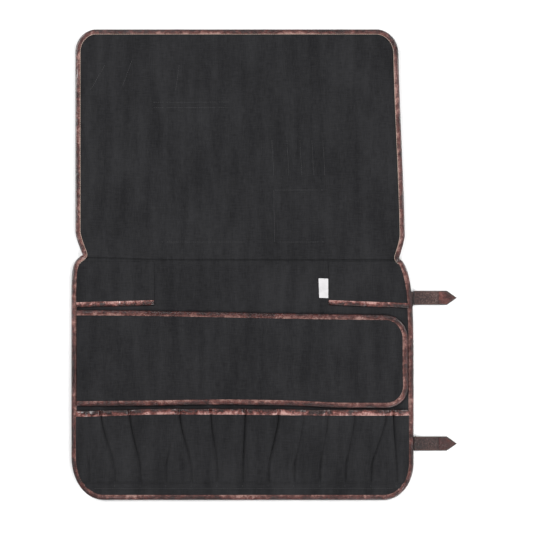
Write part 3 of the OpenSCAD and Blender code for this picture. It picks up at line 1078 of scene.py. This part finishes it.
def back_patch(name, body, node, y0, y1):
    """A leather patch from y0 to y1 stitched on the outside of the case, within a node's box."""
    (x0, _, z0), (x1, _, z1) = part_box(node)
    corner = 3 * MM
    turn = np.linspace(0, math.pi / 2, 7)
    shape = []
    centres = ((x1 - corner, y1 - corner), (x0 + corner, y1 - corner),
               (x0 + corner, y0 + corner), (x1 - corner, y0 + corner))
    for quarter, (x, y) in enumerate(centres):
        for t in turn + quarter * math.pi / 2:
            shape.append((x + corner * math.cos(t), y + corner * math.sin(t)))
    patch = plate(name, shape, z0, z1, 0.35 * MM, STRAP, PAINT)
    inset = 2 * MM
    x0, x1, y0, y1 = x0 + inset, x1 - inset, y0 + inset, y1 - inset
    z = z0 - SEAM_ABOVE
    corners = np.array([(x0, y0, z), (x1, y0, z), (x1, y1, z), (x0, y1, z), (x0, y0, z)])
    lines = [spaced(np.array([a, b]), 1 * MM) for a, b in zip(corners, corners[1:])]
    thread = stitches(f"{name}_thread", lines, *STRAP_STITCH)
    for piece in (patch, thread):
        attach(piece, body)
    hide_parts(node)


def make_back():
    """The straps' sewn ends and the catch patches, in line with the tabs."""
    for i in (1, 2):
        lo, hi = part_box(f"strap_tab_{i}")
        back_patch(f"strap_anchor_{i}", "section_7", "strap_anchors", lo.y, hi.y)
        back_patch(f"catch_patch_{i}", "section_2", "catch_patches", lo.y, hi.y)
    show_steel("catch_magnets")


def make_label():
    """A blank woven label, folded in half and sewn in by its upper edge."""
    lo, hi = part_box("size_label")
    lean = 0.035

    def label_z(x, y):
        loose = (hi.y - y) / (hi.y - lo.y)
        ripple = 0.25 * MM * np.sin((x - lo.x) / (4 * MM))
        return lining_z(x, y) + 0.32 * MM + 0.5 * MM * loose + ripple * loose

    def warp(x, y):
        return y - lean * (x - lo.x)

    def left(y):
        return lo.x - 1.9 * MM + 1 * MM * (hi.y - y) / (hi.y - lo.y)

    rows = np.linspace(lo.y + 1.3 * MM, hi.y - 0.6 * MM, 40)
    label, = cut_sheet(["label"], [left, lo.x + 12.6 * MM], rows, 0.8 * MM, label_z, 0.25 * MM,
                       RIBBON, warp=warp)
    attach(label, "section_6")
    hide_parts("size_label")
    line = np.array([(lo.x - 0.6 * MM, hi.y - 2.2 * MM), (lo.x + 11.4 * MM, hi.y - 2.6 * MM)])
    line = offset_line(spaced(line, 1 * MM), 0, label_z, 0.03 * MM)
    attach(stitches("label_thread", [line], *LABEL_STITCH), "section_6")


# ---------------------------------------------------------------- floor, light and camera
def make_stage():
    """A pale floor just under the case."""
    mesh = bpy.data.meshes.new("floor")
    size = 6.0
    corners = [(-size, -size, 0), (size, -size, 0), (size, size, 0), (-size, size, 0)]
    mesh.from_pydata(corners, [], [(0, 1, 2, 3)])
    floor = bpy.data.objects.new("floor", mesh)
    bpy.context.scene.collection.objects.link(floor)
    floor.location.z = -0.0002
    material = bpy.data.materials.new("pale floor")
    material.use_nodes = True
    shader = material.node_tree.nodes["Principled BSDF"]
    shader.inputs["Base Color"].default_value = (0.93, 0.93, 0.93, 1)
    shader.inputs["Roughness"].default_value = 0.9
    shader.inputs["Specular IOR Level"].default_value = 0.1
    mesh.materials.append(material)


def make_light(name, place, size, power):
    """A rectangular lamp that faces the case."""
    light = bpy.data.lights.new(name, "AREA")
    light.shape = "RECTANGLE"
    light.size, light.size_y = size
    light.energy = power
    lamp = bpy.data.objects.new(name, light)
    bpy.context.scene.collection.objects.link(lamp)
    lamp.location = place
    lamp.rotation_euler = (-Vector(place)).to_track_quat("-Z", "Y").to_euler()


VIEW_WIDTH = 0.7995
VIEW_CENTRE = (0.0020, -0.00275)


def make_view():
    """A weak white surrounding, three low side lamps and a camera that looks straight down."""
    scene = bpy.context.scene
    world = bpy.data.worlds.new("studio")
    world.use_nodes = True
    background = world.node_tree.nodes["Background"]
    background.inputs["Color"].default_value = (1, 1, 1, 1)
    background.inputs["Strength"].default_value = 0.22
    scene.world = world
    make_light("window", (-1.5, 0.6, 1.35), (1.7, 0.7), 43)
    make_light("lamp", (1.5, 0.7, 1.35), (1.3, 0.6), 29)
    make_light("fill", (1.1, -1.5, 1.3), (1.5, 0.7), 35)
    scene.view_settings.view_transform = "Standard"
    camera = bpy.data.cameras.new("camera")
    camera.sensor_width = 36
    camera.lens = 85
    eye = bpy.data.objects.new("camera", camera)
    scene.collection.objects.link(eye)
    eye.location = (*VIEW_CENTRE, VIEW_WIDTH * camera.lens / camera.sensor_width + PANEL_TOP)
    scene.camera = eye


make_body()
make_edging()
make_flap_seams()
make_corner_pockets()
make_pockets()
make_cover()
make_straps()
make_back()
make_label()
make_stage()
make_view()
